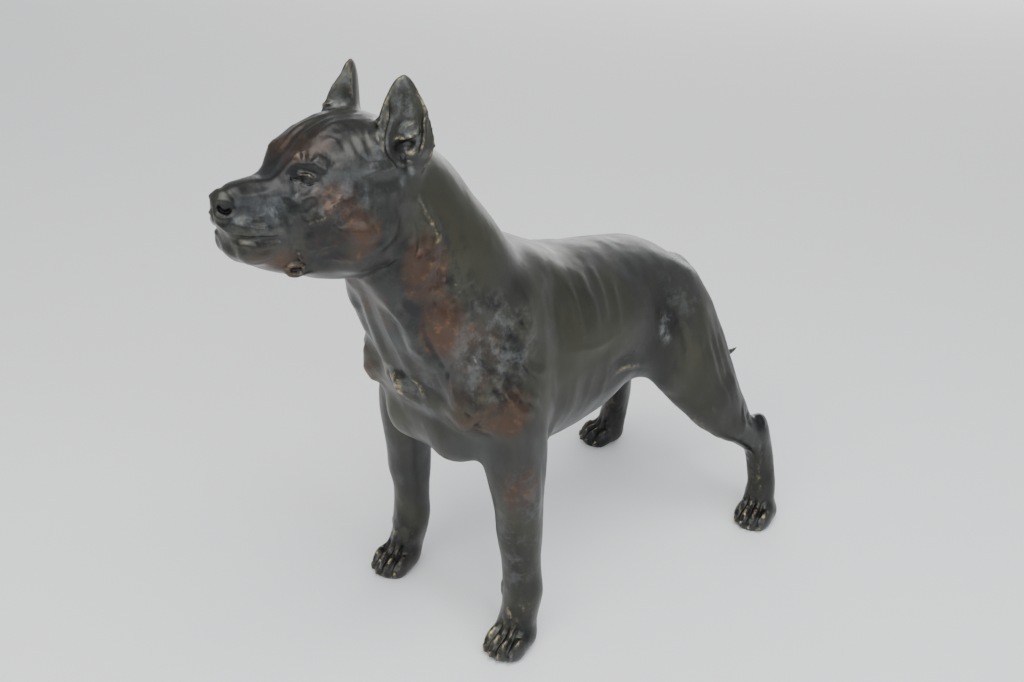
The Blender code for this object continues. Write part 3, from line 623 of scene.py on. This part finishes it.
# %% Toes, knuckles and nails
def finish_paw(x, y, degrees):
    """Deepen the clefts of one paw and give each toe a knuckle and a nail."""
    turn = math.radians(degrees)

    def on_paw(across, ahead, height):
        """Return a point given in the paw's own directions."""
        return (x + across * math.cos(turn) + ahead * math.sin(turn),
                y + across * math.sin(turn) - ahead * math.cos(turn), height)

    for across, front in ((-2.75, 8.4), (0.0, 9.4), (2.75, 8.4)):
        cleft = [on_paw(across, front, 1.2), on_paw(across, front - 2.4, 4.4),
                 on_paw(across * 0.95, front - 5.6, 7.2), on_paw(across * 0.85, front - 7.8, 9.0)]
        one_stroke(0.9, -0.5, 0, cleft)
    clay.turn_normals()
    for across, ahead in ((-4.1, 3.6), (-1.45, 5.4), (1.45, 5.4), (4.1, 3.6)):
        one_stroke(1.2, 0.4, 0, [on_paw(across, ahead - 0.4, 6.0), on_paw(across, ahead + 1.2, 5.4)])
        one_stroke(0.9, -0.3, 0, [on_paw(across, ahead + 2.6, 4.4), on_paw(across, ahead + 3.1, 3.6)])
        nail = [on_paw(across, ahead + 3.2, 2.9), on_paw(across, ahead + 4.2, 1.2)]
        one_stroke(0.8, 0.55, 0, nail)
    clay.turn_normals()


for paw in PAWS:
    finish_paw(*paw)
print("paws finished:", len(PAWS))

# %% [markdown]
# ## The sculptor's hand
#
# The surface isn't machined. Tool marks lie on the shoulder, the chest and the cheeks as short dabs along the
# hair. Their places are random, but they come from a generator with a fixed seed, so each run is alike.

# %% Tool marks along the hair
dice = np.random.default_rng(7)


def comb(centre, radii, direction, count, length, radius, depth):
    """Make short dabs in one direction over a patch of skin, some raised and some hollow."""
    patch = np.flatnonzero(clay.region(centre, radii) > 0)
    for point in dice.choice(patch, count):
        start = clay.places[point] / SHARE - (0, FORWARD, 0)
        along = np.array(direction) + dice.normal(0, 0.25, 3)
        along *= length * dice.uniform(0.5, 1.3) / np.linalg.norm(along)
        one_stroke(radius * dice.uniform(0.7, 1.3), depth * dice.uniform(-1.0, 0.8), 0,
                   [tuple(start), tuple(start + 0.5 * along), tuple(start + along)])


for side in (1, -1):
    comb((side * 19.0, -39.0, 82.0), (8, 12, 16), (side * 0.3, 0.6, -0.7), 110, 6.0, 1.5, 0.3)
    comb((side * 14.5, -49.0, 94.0), (6, 10, 14), (side * 0.1, 0.3, -1.0), 70, 5.0, 1.4, 0.24)
    comb((side * 11.5, -73.0, 123.0), (5, 11, 10), (side * 0.2, 0.9, -0.2), 60, 3.0, 0.9, 0.1)
    comb((side * 8.0, -70.0, 137.0), (7, 12, 6), (side * 0.4, 0.7, -0.5), 50, 3.0, 0.9, 0.08)
    comb((side * 5.0, -89.0, 123.0), (4, 8, 7), (side * 0.1, 0.9, -0.3), 30, 2.4, 0.8, 0.08)
    comb((side * 23.0, -34.0, 12.0), (6, 6, 8), (0.0, -0.5, -1.0), 30, 3.0, 1.0, 0.18)
    comb((side * 29.5, 59.0, 16.0), (6, 7, 14), (0.0, -0.3, -1.0), 30, 3.4, 1.0, 0.18)
    comb((side * 26.0, 44.0, 42.0), (6, 14, 14), (side * 0.2, 0.6, -1.0), 30, 5.0, 1.4, 0.16)
clay.turn_normals()
print("tool marks made")

# %% [markdown]
# ## An uneven skin
#
# Everywhere the skin also swells and sinks by fractions of a millimetre, broad and fine together, and more
# where the sculptor's tools have been. The soles are set level again at the end, so the dog stands flat.

# %% Let the skin swell and sink
LATTICE = 64
LATTICE_START = 31.3
SOLE_HEIGHT = 0.0012


def patches(regions):
    """Add up soft patches on both sides of the dog."""
    total = np.zeros(len(clay.places))
    for (x, y, z), radii, strength in regions:
        for side in (1, -1) if x else (1,):
            total = np.maximum(total, strength * np.sqrt(clay.region((side * x, y, z), radii)))
    return np.clip(total, 0, 1)


TOOLED = [
    ((19.0, -41.0, 84.0), (9, 13, 17), 1.0),
    ((12.0, -54.0, 100.0), (10, 14, 20), 0.8),
    ((7.0, -78.0, 127.0), (12, 26, 20), 0.9),
    ((23.0, -35.0, 8.0), (9, 12, 12), 0.8),
    ((30.0, 58.0, 20.0), (9, 14, 22), 0.8),
    ((17.8, 24.4, 71.0), (3.6, 4.6, 5.6), 1.0),
]


def swell(size, depth, seed, stretch=1.0, weight=1.0):
    """Let the skin swell and sink softly, by smoothed random numbers on a lattice."""
    lattice = np.random.default_rng(seed).normal(0, 1, (LATTICE, LATTICE, LATTICE))
    cells = clay.places / (size, size, size * stretch) + LATTICE_START
    base = np.floor(cells).astype(int)
    part = cells - base
    part = part * part * (3 - 2 * part)
    height = np.zeros(len(cells))
    for corner in range(8):
        step = np.array((corner & 1, corner >> 1 & 1, corner >> 2 & 1))
        share = np.prod(np.where(step, part, 1 - part), axis=1)
        where = (base + step) % LATTICE
        height += share * lattice[where[:, 0], where[:, 1], where[:, 2]]
    clay.places += clay.normals * (height * depth * weight)[:, None]


swell(0.034, 0.0007, 1)
swell(0.014, 0.00028, 2, 1.8)
swell(0.0065, 0.00009, 3, 1.6)
swell(0.017, 0.0008, 4, 1.5, patches(TOOLED[:2]))
clay.turn_normals()
sole = clay.places[:, 2] < SOLE_HEIGHT
clay.places[sole, 2] = 0.0
print("points set level in the soles:", int(sole.sum()))

# %% [markdown]
# ## Where the patina wears
#
# Rubbing takes the patina off what stands out, and wax and dirt stay in what lies deep. Both can be measured:
# the skin is smoothed for a moment, and a point that stood above the smoothed skin is a ridge, one below it a
# hollow.

# %% Measure ridges and hollows
SMALL_RELIEF = 0.00022
SMALL_ROUNDS = 6
BROAD_RELIEF = 0.0010
BROAD_ROUNDS = 30

kept = clay.places.copy()
clay.smooth(SMALL_ROUNDS)
small = np.einsum("ij,ij->i", kept - clay.places, clay.normals) / SMALL_RELIEF
clay.smooth(BROAD_ROUNDS)
broad = np.einsum("ij,ij->i", kept - clay.places, clay.normals) / BROAD_RELIEF
clay.places = kept
clay.turn_normals()
relief = clay.neighbour_means((0.5 * small + 0.5 * broad)[:, None])[:, 0]
print("relief from", round(float(relief.min()), 2), "to", round(float(relief.max()), 2))

# %% [markdown]
# ## Where the colours lie
#
# The bronze has red-brown patches on cheek, neck and shoulder, rubbed gold on ears, chest and paws, and a
# scratched spot at the hip. Pale grey is painted as sheen and highlight on that spot, the ears, the muzzle,
# the cheeks, the shoulders, the forelegs, the breastbone and the rump, and near black as painted shade on the
# hind legs, the lower flanks, the throat, under the jaw, over the skull and on the top of the muzzle. Each
# table row is a soft ellipsoid: its middle, its radii and its strength.

# %% Patches of colour, painted shade and painted sheen
RED_BROWN = [
    ((11.5, -75.0, 120.0), (6, 10, 7), 1.0),
    ((6.0, -86.0, 115.5), (5, 8, 5), 0.8),
    ((11.0, -76.0, 127.5), (4, 6, 4), 0.6),
    ((13.0, -54.0, 108.0), (5, 6, 9), 0.9),
    ((14.5, -50.5, 93.0), (5, 6, 9), 0.9),
    ((17.7, -43.7, 86.0), (6, 7, 8), 0.7),
    ((19.8, -45.0, 73.0), (8, 9, 10), 0.9),
    ((22.7, -37.8, 70.5), (6, 7, 7), 0.9),
    ((25.5, -36.0, 50.0), (4, 6, 9), 0.9),
    ((3.0, -78.0, 137.5), (5, 10, 4), 0.5),
    ((2.0, -60.0, 100.0), (6, 8, 12), 0.4),
]
RUBBED = [
    ((10.0, -57.0, 139.0), (7, 9, 14), 0.9),
    ((5.0, -80.0, 133.5), (5, 5, 4), 0.4),
    ((11.0, -76.0, 124.0), (4, 6, 4), 0.8),
    ((2.0, -51.0, 72.0), (8, 6, 7), 0.9),
    ((6.8, -83.0, 113.0), (2, 4, 2), 0.5),
    ((13.8, -53.5, 114.0), (3, 5, 12), 0.6),
    ((18.5, 10.0, 63.5), (4, 14, 4), 0.8),
    ((23.0, -36.0, 4.0), (10, 12, 7), 0.9),
    ((31.0, 57.0, 4.0), (9, 11, 7), 1.0),
    ((24.6, -34.0, 11.0), (5, 5, 6), 0.7),
    ((25.0, 37.5, 40.5), (4, 8, 6), 0.7),
    ((29.0, 59.3, 12.5), (4, 4, 7), 0.9),
    ((16.5, 25.0, 74.0), (5, 7, 7), 0.3),
]
# Painted sheen: paler on ears, muzzle, cheeks, shoulders, forelegs, breastbone, rump; painted highlight at the
# hip.
SCRAPED_AND_SHEEN = [
    ((17.9, 24.4, 70.6), (2.6, 3.4, 4.6), 1.0),
    ((10.0, -57.0, 139.5), (6, 8, 12), 0.4),
    ((6.0, -89.0, 125.5), (5, 9, 5), 0.25),
    ((12.0, -72.0, 126.0), (4, 8, 6), 0.2),
    ((18.5, -38.0, 86.0), (8, 12, 14), 0.42),
    ((24.0, -34.0, 36.0), (6, 8, 24), 0.24),
    ((6.0, -50.0, 74.0), (10, 8, 10), 0.25),
    ((14.0, 38.0, 80.0), (12, 14, 12), 0.25),
]
# Painted shade: darker on the hind legs, lower flanks, throat, under the jaw, skull and top of the muzzle.
PAINTED_SHADE = [
    ((28.0, 48.0, 34.0), (14, 26, 36), 0.9),
    ((19.0, 2.0, 61.0), (10, 26, 12), 0.7),
    ((5.0, -64.0, 105.0), (12, 10, 8), 0.8),
    ((9.0, -72.0, 114.0), (9, 16, 5), 0.5),
    ((2.0, -76.0, 138.0), (7, 18, 8), 0.6),
    ((1.0, -89.0, 131.5), (4, 9, 3), 0.6),
]
print("patches:", len(RED_BROWN), "red-brown,", len(RUBBED), "rubbed,", len(SCRAPED_AND_SHEEN), "pale,", len(PAINTED_SHADE), "dark")

# %% [markdown]
# An attribute holds one value for each point of the mesh. Only relief above a threshold counts as a ridge or
# a hollow, so the even skin of the flanks keeps its patina.

# %% Store the values on the mesh
RIDGE_FROM = 0.3
HOLLOW_FROM = 0.25
TOOLED_GAIN = 1.6


def store(name, values):
    """Keep a value for each point as an attribute of the mesh."""
    attribute = figure.data.attributes.new(name, "FLOAT", "POINT")
    attribute.data.foreach_set("value", values.astype(np.float32))


clay.give_back()
store("ridge", np.clip(relief - RIDGE_FROM, 0, 2))
store("hollow", np.clip(-relief - HOLLOW_FROM, 0, 2))
store("red_brown", patches(RED_BROWN))
store("rubbed", patches(RUBBED))
store("tooled", np.clip(TOOLED_GAIN * patches(TOOLED), 0, 1))
# pale: painted sheen and highlight, with the scratched spot at the hip
store("pale", patches(SCRAPED_AND_SHEEN))
# dark: painted shade
store("dark", patches(PAINTED_SHADE))
print("attributes:", [attribute.name for attribute in figure.data.attributes])

# %% [markdown]
# ## Thin the skin out
#
# The clay has more points than the shape needs on the broad muscles. The Decimate modifier merges them where
# the skin is nearly flat and keeps them at folds and lids, so the finished piece stays light.

# %% Thin the skin out
MOST_TRIANGLES = 195000
figure.data.calc_loop_triangles()
keep = MOST_TRIANGLES / len(figure.data.loop_triangles)
print("clay of", len(figure.data.loop_triangles), "triangles")
apply_modifier(figure, "thin", "DECIMATE", ratio=keep, use_collapse_triangulate=True)
figure.data.shade_smooth()
print("finished piece of", len(figure.data.polygons), "triangles")

# %% [markdown]
# ## The patina
#
# Patinated bronze is metal under a thin coloured skin and lacquer, and one Principled shader does it. Its
# colour comes from a chain of mixes, and short functions keep that chain readable: each makes one node, links
# it and returns the output that the next step needs.

# %% Shorthands for nodes
material = bpy.data.materials.new("patinated_bronze")
material.use_nodes = True
nodes = material.node_tree.nodes
links = material.node_tree.links
shader = nodes["Principled BSDF"]
place = nodes.new("ShaderNodeTexCoord").outputs["Object"]


def feed(socket, value):
    """Link another node's output to a socket, or set a plain value on it."""
    if isinstance(value, bpy.types.NodeSocket):
        links.new(value, socket)
    else:
        socket.default_value = value


def noise(scale, detail=4.0, rough=0.55, stretch=None):
    """Return noise on the object's own coordinates, stretched where asked."""
    source = place
    if stretch:
        mapping = nodes.new("ShaderNodeMapping")
        mapping.inputs["Scale"].default_value = stretch
        links.new(place, mapping.inputs["Vector"])
        source = mapping.outputs["Vector"]
    texture = nodes.new("ShaderNodeTexNoise")
    texture.inputs["Scale"].default_value = scale
    texture.inputs["Detail"].default_value = detail
    texture.inputs["Roughness"].default_value = rough
    links.new(source, texture.inputs["Vector"])
    return texture.outputs["Fac"]


def between(value, low, high, to_low=0.0, to_high=1.0):
    """Return a soft step of a value from one range to another."""
    node = nodes.new("ShaderNodeMapRange")
    node.interpolation_type = "SMOOTHSTEP"
    feed(node.inputs["Value"], value)
    node.inputs["From Min"].default_value = low
    node.inputs["From Max"].default_value = high
    node.inputs["To Min"].default_value = to_low
    node.inputs["To Max"].default_value = to_high
    return node.outputs["Result"]


def math_node(operation, first, second):
    """Return a sum or a product, kept between 0 and 1."""
    node = nodes.new("ShaderNodeMath")
    node.operation = operation
    node.use_clamp = True
    feed(node.inputs[0], first)
    feed(node.inputs[1], second)
    return node.outputs[0]


def blend(share, first, second):
    """Mix two colours by a share."""
    node = nodes.new("ShaderNodeMix")
    node.data_type = "RGBA"
    feed(node.inputs["Factor"], share)
    feed(node.inputs["A"], first)
    feed(node.inputs["B"], second)
    return node.outputs["Result"]


def attribute(name):
    """Return a value stored on the mesh."""
    node = nodes.new("ShaderNodeAttribute")
    node.attribute_name = name
    return node.outputs["Fac"]


print("material", material.name)

# %% [markdown]
# The ground drifts between graphite and olive, and dark wax lies in the tooled skin. Painted shade darkens
# the underside, the hind legs, the skull and the top of the muzzle. Red-brown comes where its attribute says
# so, with amber specks in it, and soot lies in the hollows. Noise breaks up each border, so nothing ends in a
# clean line.

# %% Ground colours
graphite = (0.046, 0.047, 0.046, 1.0)
olive = (0.044, 0.043, 0.029, 1.0)
black = (0.013, 0.013, 0.013, 1.0)
brown = (0.060, 0.030, 0.017, 1.0)
amber = (0.19, 0.10, 0.04, 1.0)
gold = (0.55, 0.46, 0.24, 1.0)
soot = (0.008, 0.008, 0.007, 1.0)
scraped_and_sheen_grey = (0.20, 0.21, 0.21, 1.0)

colour = blend(between(noise(6.0), 0.34, 0.64), graphite, olive)
colour = blend(between(noise(9.0, 6.0, 0.6, (1.0, 1.0, 0.5)), 0.42, 0.78), colour, black)
wax = math_node("MULTIPLY", attribute("tooled"), between(noise(24.0, 8.0, 0.65), 0.44, 0.62))
colour = blend(wax, colour, black)
# painted shade: near black where the dark attribute says so
colour = blend(math_node("MULTIPLY", attribute("dark"), 0.75), colour, black)
broken = between(noise(13.0, 8.0, 0.65), 0.34, 0.60)
patch = math_node("MULTIPLY", attribute("red_brown"), broken)
colour = blend(patch, colour, brown)
specks = math_node("MULTIPLY", patch, between(noise(70.0, 8.0, 0.7), 0.52, 0.70))
colour = blend(math_node("MULTIPLY", specks, 0.65), colour, amber)
colour = blend(between(attribute("hollow"), 0.0, 1.2, 0.0, 0.85), colour, soot)
print("ground colours mixed")

# %% [markdown]
# Gold shows on ridges inside the rubbed patches and as a few flecks in the tooled skin, and there the surface
# is more of a metal than under the patina. Pale grey is painted on the scratched spot at the hip as a
# highlight, and as painted sheen on the ears, the muzzle, the cheeks, the shoulders, the forelegs, the
# breastbone and the rump.

# %% Rubbed places, the scratched hip and painted sheen
grit = between(noise(190.0, 8.0, 0.7), 0.42, 0.66)
worn = math_node("MULTIPLY", between(attribute("ridge"), 0.0, 1.2), grit)
rubbed = math_node("MULTIPLY", attribute("rubbed"), worn)
dust = between(noise(260.0, 8.0, 0.7), 0.66, 0.76)
flecks = math_node("MULTIPLY", dust, attribute("tooled"))
shine = math_node("ADD", math_node("MULTIPLY", rubbed, 0.85), math_node("MULTIPLY", flecks, 0.25))
colour = blend(shine, colour, gold)
# painted sheen and highlight in pale grey, with the scratched hip spot
cloud = between(noise(42.0, 8.0, 0.72), 0.46, 0.66)
scraped_and_sheen = math_node("MULTIPLY", attribute("pale"), cloud)
colour = blend(scraped_and_sheen, colour, scraped_and_sheen_grey)
links.new(colour, shader.inputs["Base Color"])
links.new(between(shine, 0.0, 1.0, 0.8, 0.95), shader.inputs["Metallic"])
print("worn places mixed")

# %% [markdown]
# Broad muscles are satin and the tooled skin is glossier. The thin lacquer is the same all over, so its
# values are set on the shader itself. Scratches along the hair and the grain of the casting are too fine for
# the mesh, so they are bumps: one Bump node feeds its normal to the next.

# %% Gloss, scratches and grain
matt = between(noise(28.0, 6.0, 0.6), 0.32, 0.68, 0.44, 0.56)
glossy = between(noise(36.0, 6.0, 0.6), 0.34, 0.66, 0.30, 0.44)
gloss = nodes.new("ShaderNodeMix")
feed(gloss.inputs["Factor"], attribute("tooled"))
feed(gloss.inputs["A"], matt)
feed(gloss.inputs["B"], glossy)
links.new(gloss.outputs["Result"], shader.inputs["Roughness"])
shader.inputs["Coat Weight"].default_value = 0.25
shader.inputs["Coat Roughness"].default_value = 0.28

strokes = noise(95.0, 8.0, 0.7, (1.0, 1.0, 0.3))
scratches = math_node("MULTIPLY", strokes, between(attribute("tooled"), 0.0, 1.0, 0.25, 1.0))
grain = noise(480.0, 5.0, 0.6)
bump = nodes.new("ShaderNodeBump")
bump.inputs["Strength"].default_value = 0.75
bump.inputs["Distance"].default_value = 0.001
links.new(scratches, bump.inputs["Height"])
fine_bump = nodes.new("ShaderNodeBump")
fine_bump.inputs["Strength"].default_value = 0.5
fine_bump.inputs["Distance"].default_value = 0.0002
links.new(grain, fine_bump.inputs["Height"])
links.new(bump.outputs["Normal"], fine_bump.inputs["Normal"])
links.new(fine_bump.outputs["Normal"], shader.inputs["Normal"])

figure.data.materials.clear()
figure.data.materials.append(material)
print("patina of", len(nodes), "nodes")

# %% [markdown]
# ## The studio
#
# A pale floor, a soft room and five softboxes: one overhead for the brow and the shoulder, a wide one behind
# the dog, whose reflection lies along the back and the rump, two cool windows at its left and its front left
# for the muzzle, the cheek and the shoulder, and a large soft one in front that lifts the chest and the
# forelegs.

# %% Floor, room and lights
FLOOR_SIZE = 60.0
FLOOR_DROP = 0.0003
FLOOR_COLOUR = (0.95, 0.95, 0.95, 1.0)
ROOM_COLOUR = (0.95, 0.97, 1.0, 1.0)
ROOM_STRENGTH = 0.68

bpy.ops.object.select_all(action="DESELECT")
bpy.ops.mesh.primitive_plane_add(size=FLOOR_SIZE, location=(0.0, 0.0, -FLOOR_DROP))
floor = bpy.context.active_object
floor.name = "pale_floor"
floor_paint = bpy.data.materials.new("pale_floor")
floor_paint.use_nodes = True
floor_shader = floor_paint.node_tree.nodes["Principled BSDF"]
floor_shader.inputs["Base Color"].default_value = FLOOR_COLOUR
floor_shader.inputs["Roughness"].default_value = 0.9
floor.data.materials.append(floor_paint)

room = bpy.data.worlds.new("bright_room")
room.use_nodes = True
sky = room.node_tree.nodes["Background"]
sky.inputs["Color"].default_value = ROOM_COLOUR
sky.inputs["Strength"].default_value = ROOM_STRENGTH
bpy.context.scene.world = room
print("floor of", FLOOR_SIZE, "metres")

# %% [markdown]
# A softbox is an area light. It is turned so that its own minus Z, the side that shines, looks at a target.


# %% Softboxes
def softbox(name, stand, target, width, height, power, tint=(1.0, 1.0, 1.0)):
    """Hang a large soft light that faces a target."""
    light = bpy.data.lights.new(name, "AREA")
    light.shape = "RECTANGLE"
    light.size = width
    light.size_y = height
    light.energy = power
    light.color = tint
    lamp = bpy.data.objects.new(name, light)
    lamp.location = stand
    lamp.rotation_euler = (Vector(target) - Vector(stand)).to_track_quat("-Z", "Y").to_euler()
    bpy.context.scene.collection.objects.link(lamp)


softbox("overhead", (0.7, -0.5, 2.4), (0.0, -0.3, 0.4), 1.2, 1.2, 32.0)
softbox("behind", (-3.4, 5.4, 1.5), (0.0, 0.0, 0.5), 6.0, 2.6, 190.0)
softbox("left_window", (2.4, -0.1, 1.35), (0.0, -0.1, 0.5), 0.5, 1.3, 15.0, (0.82, 0.90, 1.0))
softbox("front_window", (1.9, -1.2, 1.75), (0.0, -0.3, 0.5), 0.7, 0.9, 13.0, (0.86, 0.92, 1.0))
softbox("front_fill", (0.6, -2.6, 2.4), (0.2, -0.4, 0.2), 2.0, 1.6, 34.0)
print("softboxes:", len(bpy.data.lights))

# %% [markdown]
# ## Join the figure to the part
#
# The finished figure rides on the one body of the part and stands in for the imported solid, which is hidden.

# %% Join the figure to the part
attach(figure, "root")
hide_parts("bull_terrier_figure")
